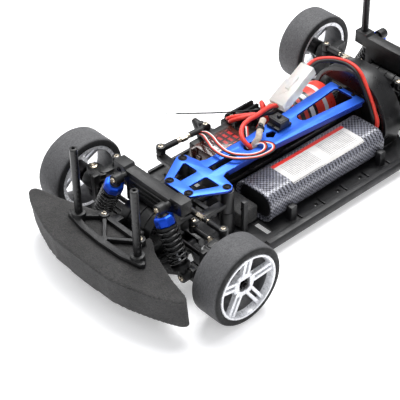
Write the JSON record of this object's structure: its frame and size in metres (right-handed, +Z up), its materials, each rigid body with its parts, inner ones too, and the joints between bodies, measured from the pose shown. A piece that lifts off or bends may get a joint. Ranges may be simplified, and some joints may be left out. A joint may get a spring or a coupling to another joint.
{
  "type": "rc drift car",
  "caption": "Radio-controlled drift car chassis without its body: foam bumper, sprung arms, spoked wheels, blue top deck, steering, motor, battery.",
  "frame": {"origin": "on the ground below the middle of the bounding box, midway between the bumper front and the rear tyres", "axes": "+Z up, -Y the way the car drives, +X its left side; the wheels turn about X"},
  "size_m": [0.2, 0.362, 0.108],
  "materials": {
    "tray": "satin black moulded nylon",
    "nylon": "satin black moulded nylon",
    "case": "smooth black plastic",
    "foam": "fine-grained charcoal foam",
    "anodised": "blue anodised",
    "tyre": "worn matt hard compound",
    "rim": "silver painted",
    "motor": "red wrap with plain bands",
    "servo": "smoky translucent brown",
    "wrap": "shrink wrap with a woven look",
    "wire": "soft wire cover",
    "red_wire": "soft wire cover",
    "plug": "milky translucent",
    "steel": "bright"
  },
  "bodies": {
    "chassis": {"chassis_tray": "tray", "bumper_foam": "foam", "bumper_brace": "nylon", "front_gearbox": "case", "rear_gearbox": "case", "front_shock_tower": "nylon", "rear_shock_tower": "nylon", "top_deck": "anodised", "motor": "motor", "gear_cover": "case", "servo": "servo", "esc": "case", "power_switch": "case", "battery_pack": "wrap", "battery_foam": "foam", "antenna": "wire", "servo_lead": "wire", "battery_leads": "red_wire", "esc_leads": "wire", "battery_plug": "plug"},
    "switch_slider": {"switch_slider": "case"},
    "centre_shaft": {"centre_shaft": "case"},
    "pinion": {"pinion": "steel"},
    "servo_horn": {"servo_horn": "nylon"},
    "servo_link": {"servo_link": "nylon"},
    "bellcrank_left": {"bellcrank_left": "nylon"},
    "bellcrank_right": {"bellcrank_right": "nylon"},
    "drag_link": {"drag_link": "nylon"},
    "tie_rod_left": {"tie_rod_left": "nylon"},
    "tie_rod_right": {"tie_rod_right": "nylon"},
    "front_left_arm": {"front_left_arm": "nylon"},
    "front_left_camber_link": {"front_left_camber_link": "nylon"},
    "front_left_shock_body": {"front_left_shock_body": "nylon"},
    "front_left_shock_rod": {"front_left_shock_rod": "steel"},
    "front_left_carrier": {"front_left_carrier": "nylon"},
    "front_left_knuckle": {"front_left_knuckle": "nylon"},
    "front_left_wheel": {"front_left_tyre": "tyre", "front_left_rim": "rim"},
    "front_right_arm": {"front_right_arm": "nylon"},
    "front_right_camber_link": {"front_right_camber_link": "nylon"},
    "front_right_shock_body": {"front_right_shock_body": "nylon"},
    "front_right_shock_rod": {"front_right_shock_rod": "steel"},
    "front_right_carrier": {"front_right_carrier": "nylon"},
    "front_right_knuckle": {"front_right_knuckle": "nylon"},
    "front_right_wheel": {"front_right_tyre": "tyre", "front_right_rim": "rim"},
    "rear_left_arm": {"rear_left_arm": "nylon"},
    "rear_left_camber_link": {"rear_left_camber_link": "nylon"},
    "rear_left_shock_body": {"rear_left_shock_body": "nylon"},
    "rear_left_shock_rod": {"rear_left_shock_rod": "steel"},
    "rear_left_upright": {"rear_left_upright": "nylon"},
    "rear_left_wheel": {"rear_left_tyre": "tyre", "rear_left_rim": "rim"},
    "rear_right_arm": {"rear_right_arm": "nylon"},
    "rear_right_camber_link": {"rear_right_camber_link": "nylon"},
    "rear_right_shock_body": {"rear_right_shock_body": "nylon"},
    "rear_right_shock_rod": {"rear_right_shock_rod": "steel"},
    "rear_right_upright": {"rear_right_upright": "nylon"},
    "rear_right_wheel": {"rear_right_tyre": "tyre", "rear_right_rim": "rim"}
  },
  "joints": [
    {"name": "front_left_arm_hinge", "type": "hinge", "parent": "chassis", "child": "front_left_arm", "pos_m": [0.022, -0.109, 0.014], "axis": [0, -1, 0], "range_deg": [-6, 7], "stiffness_Nm_per_rad": 1.6, "springref_deg": -4.58},
    {"name": "front_left_carrier_hinge", "type": "hinge", "parent": "front_left_arm", "child": "front_left_carrier", "pos_m": [0.06, -0.109, 0.014], "axis": [0, -1, 0], "range_deg": [-7.5, 6.5]},
    {"name": "front_left_camber_link_hinge", "type": "hinge", "parent": "chassis", "child": "front_left_camber_link", "pos_m": [0.021, -0.095, 0.05], "axis": [0, -1, 0], "range_deg": [-6.5, 7.5]},
    {"name": "front_left_shock_body_hinge", "type": "hinge", "parent": "chassis", "child": "front_left_shock_body", "pos_m": [0.024, -0.123, 0.066], "axis": [0, -1, 0], "range_deg": [-2, 2]},
    {"name": "front_left_shock_slide", "type": "slide", "parent": "front_left_shock_body", "child": "front_left_shock_rod", "axis": [0.4472, 0, -0.8944], "range_m": [-0.0035, 0.003]},
    {"name": "front_left_steer", "type": "hinge", "parent": "front_left_carrier", "child": "front_left_knuckle", "pos_m": [0.07, -0.109, 0.032], "axis": [0, 0, 1], "range_deg": [-22, 22]},
    {"name": "front_left_wheel_spin", "type": "hinge", "parent": "front_left_knuckle", "child": "front_left_wheel", "pos_m": [0.087, -0.109, 0.032], "axis": [1, 0, 0], "continuous": true},
    {"name": "front_right_arm_hinge", "type": "hinge", "parent": "chassis", "child": "front_right_arm", "pos_m": [-0.022, -0.109, 0.014], "axis": [0, 1, 0], "range_deg": [-6, 7], "stiffness_Nm_per_rad": 1.6, "springref_deg": -4.58},
    {"name": "front_right_carrier_hinge", "type": "hinge", "parent": "front_right_arm", "child": "front_right_carrier", "pos_m": [-0.06, -0.109, 0.014], "axis": [0, 1, 0], "range_deg": [-7.5, 6.5]},
    {"name": "front_right_camber_link_hinge", "type": "hinge", "parent": "chassis", "child": "front_right_camber_link", "pos_m": [-0.021, -0.095, 0.05], "axis": [0, 1, 0], "range_deg": [-6.5, 7.5]},
    {"name": "front_right_shock_body_hinge", "type": "hinge", "parent": "chassis", "child": "front_right_shock_body", "pos_m": [-0.024, -0.123, 0.066], "axis": [0, 1, 0], "range_deg": [-2, 2]},
    {"name": "front_right_shock_slide", "type": "slide", "parent": "front_right_shock_body", "child": "front_right_shock_rod", "axis": [-0.4472, 0, -0.8944], "range_m": [-0.0035, 0.003]},
    {"name": "front_right_steer", "type": "hinge", "parent": "front_right_carrier", "child": "front_right_knuckle", "pos_m": [-0.07, -0.109, 0.032], "axis": [0, 0, 1], "range_deg": [-23, 23]},
    {"name": "front_right_wheel_spin", "type": "hinge", "parent": "front_right_knuckle", "child": "front_right_wheel", "pos_m": [-0.087, -0.109, 0.032], "axis": [1, 0, 0], "continuous": true},
    {"name": "rear_left_arm_hinge", "type": "hinge", "parent": "chassis", "child": "rear_left_arm", "pos_m": [0.022, 0.149, 0.014], "axis": [0, -1, 0], "range_deg": [-6, 7], "stiffness_Nm_per_rad": 1.6, "springref_deg": -4.58},
    {"name": "rear_left_upright_hinge", "type": "hinge", "parent": "rear_left_arm", "child": "rear_left_upright", "pos_m": [0.06, 0.149, 0.014], "axis": [0, -1, 0], "range_deg": [-7.5, 6.5]},
    {"name": "rear_left_camber_link_hinge", "type": "hinge", "parent": "chassis", "child": "rear_left_camber_link", "pos_m": [0.021, 0.135, 0.05], "axis": [0, -1, 0], "range_deg": [-6.5, 7.5]},
    {"name": "rear_left_shock_body_hinge", "type": "hinge", "parent": "chassis", "child": "rear_left_shock_body", "pos_m": [0.024, 0.163, 0.066], "axis": [0, -1, 0], "range_deg": [-2, 2]},
    {"name": "rear_left_shock_slide", "type": "slide", "parent": "rear_left_shock_body", "child": "rear_left_shock_rod", "axis": [0.4472, 0, -0.8944], "range_m": [-0.0035, 0.003]},
    {"name": "rear_left_wheel_spin", "type": "hinge", "parent": "rear_left_upright", "child": "rear_left_wheel", "pos_m": [0.087, 0.149, 0.032], "axis": [1, 0, 0], "continuous": true},
    {"name": "rear_right_arm_hinge", "type": "hinge", "parent": "chassis", "child": "rear_right_arm", "pos_m": [-0.022, 0.149, 0.014], "axis": [0, 1, 0], "range_deg": [-6, 7], "stiffness_Nm_per_rad": 1.6, "springref_deg": -4.58},
    {"name": "rear_right_upright_hinge", "type": "hinge", "parent": "rear_right_arm", "child": "rear_right_upright", "pos_m": [-0.06, 0.149, 0.014], "axis": [0, 1, 0], "range_deg": [-7.5, 6.5]},
    {"name": "rear_right_camber_link_hinge", "type": "hinge", "parent": "chassis", "child": "rear_right_camber_link", "pos_m": [-0.021, 0.135, 0.05], "axis": [0, 1, 0], "range_deg": [-6.5, 7.5]},
    {"name": "rear_right_shock_body_hinge", "type": "hinge", "parent": "chassis", "child": "rear_right_shock_body", "pos_m": [-0.024, 0.163, 0.066], "axis": [0, 1, 0], "range_deg": [-2, 2]},
    {"name": "rear_right_shock_slide", "type": "slide", "parent": "rear_right_shock_body", "child": "rear_right_shock_rod", "axis": [-0.4472, 0, -0.8944], "range_m": [-0.0035, 0.003]},
    {"name": "rear_right_wheel_spin", "type": "hinge", "parent": "rear_right_upright", "child": "rear_right_wheel", "pos_m": [-0.087, 0.149, 0.032], "axis": [1, 0, 0], "continuous": true},
    {"name": "bellcrank_left_pivot", "type": "hinge", "parent": "chassis", "child": "bellcrank_left", "pos_m": [0.0245, -0.059, 0.037], "axis": [0, 0, 1], "range_deg": [-11.5, 11.5]},
    {"name": "bellcrank_right_pivot", "type": "hinge", "parent": "chassis", "child": "bellcrank_right", "pos_m": [-0.0245, -0.059, 0.037], "axis": [0, 0, 1], "range_deg": [-11.5, 11.5]},
    {"name": "drag_link_pivot", "type": "hinge", "parent": "bellcrank_right", "child": "drag_link", "pos_m": [-0.0245, -0.073, 0.034], "axis": [0, 0, 1], "range_deg": [-11.5, 11.5]},
    {"name": "tie_rod_left_slide", "type": "slide", "parent": "front_left_arm", "child": "tie_rod_left", "axis": [1, 0, 0], "range_m": [-0.0065, 0.0065]},
    {"name": "tie_rod_right_slide", "type": "slide", "parent": "front_right_arm", "child": "tie_rod_right", "axis": [1, 0, 0], "range_m": [-0.0065, 0.0065]},
    {"name": "servo_horn_shaft", "type": "hinge", "parent": "chassis", "child": "servo_horn", "pos_m": [-0.053, -0.009, 0.034], "axis": [1, 0, 0], "range_deg": [-22.5, 22.5]},
    {"name": "servo_link_pivot", "type": "hinge", "parent": "servo_horn", "child": "servo_link", "pos_m": [-0.0466, -0.015, 0.047], "axis": [1, 0, 0], "range_deg": [-26, 26]},
    {"name": "centre_shaft_spin", "type": "hinge", "parent": "chassis", "child": "centre_shaft", "pos_m": [0, 0.108, 0.027], "axis": [0, 1, 0], "continuous": true},
    {"name": "pinion_spin", "type": "hinge", "parent": "chassis", "child": "pinion", "pos_m": [-0.028, 0.108, 0.029], "axis": [0, 1, 0], "continuous": true},
    {"name": "power_switch_slide", "type": "slide", "parent": "chassis", "child": "switch_slider", "axis": [0, 1, 0], "range_m": [0, 0.0035]}
  ],
  "couplings": [
    {"joint": "front_left_carrier_hinge", "follows": "front_left_arm_hinge", "ratio": -1},
    {"joint": "front_left_camber_link_hinge", "follows": "front_left_arm_hinge", "ratio": 1},
    {"joint": "front_left_shock_body_hinge", "follows": "front_left_arm_hinge", "ratio": 0.15},
    {"joint": "front_left_shock_slide", "follows": "front_left_arm_hinge", "m_per_rad": -0.02504},
    {"joint": "front_left_wheel_spin", "follows": "rear_left_wheel_spin", "ratio": 1},
    {"joint": "front_right_carrier_hinge", "follows": "front_right_arm_hinge", "ratio": -1},
    {"joint": "front_right_camber_link_hinge", "follows": "front_right_arm_hinge", "ratio": 1},
    {"joint": "front_right_shock_body_hinge", "follows": "front_right_arm_hinge", "ratio": 0.15},
    {"joint": "front_right_shock_slide", "follows": "front_right_arm_hinge", "m_per_rad": -0.02504},
    {"joint": "front_right_steer", "follows": "front_left_steer", "ratio": 1},
    {"joint": "front_right_wheel_spin", "follows": "rear_left_wheel_spin", "ratio": 1},
    {"joint": "rear_left_upright_hinge", "follows": "rear_left_arm_hinge", "ratio": -1},
    {"joint": "rear_left_camber_link_hinge", "follows": "rear_left_arm_hinge", "ratio": 1},
    {"joint": "rear_left_shock_body_hinge", "follows": "rear_left_arm_hinge", "ratio": 0.15},
    {"joint": "rear_left_shock_slide", "follows": "rear_left_arm_hinge", "m_per_rad": -0.02504},
    {"joint": "rear_right_upright_hinge", "follows": "rear_right_arm_hinge", "ratio": -1},
    {"joint": "rear_right_camber_link_hinge", "follows": "rear_right_arm_hinge", "ratio": 1},
    {"joint": "rear_right_shock_body_hinge", "follows": "rear_right_arm_hinge", "ratio": 0.15},
    {"joint": "rear_right_shock_slide", "follows": "rear_right_arm_hinge", "m_per_rad": -0.02504},
    {"joint": "rear_right_wheel_spin", "follows": "rear_left_wheel_spin", "ratio": 1},
    {"joint": "bellcrank_left_pivot", "follows": "front_left_steer", "ratio": -0.47059},
    {"joint": "bellcrank_right_pivot", "follows": "front_left_steer", "ratio": -0.47059},
    {"joint": "drag_link_pivot", "follows": "front_left_steer", "ratio": 0.47059},
    {"joint": "tie_rod_left_slide", "follows": "front_left_steer", "m_per_rad": -0.016},
    {"joint": "tie_rod_right_slide", "follows": "front_left_steer", "m_per_rad": -0.016},
    {"joint": "servo_horn_shaft", "follows": "front_left_steer", "ratio": -0.98},
    {"joint": "servo_link_pivot", "follows": "front_left_steer", "ratio": 1.13},
    {"joint": "centre_shaft_spin", "follows": "rear_left_wheel_spin", "ratio": 2.6},
    {"joint": "pinion_spin", "follows": "rear_left_wheel_spin", "ratio": -7.8}
  ]
}
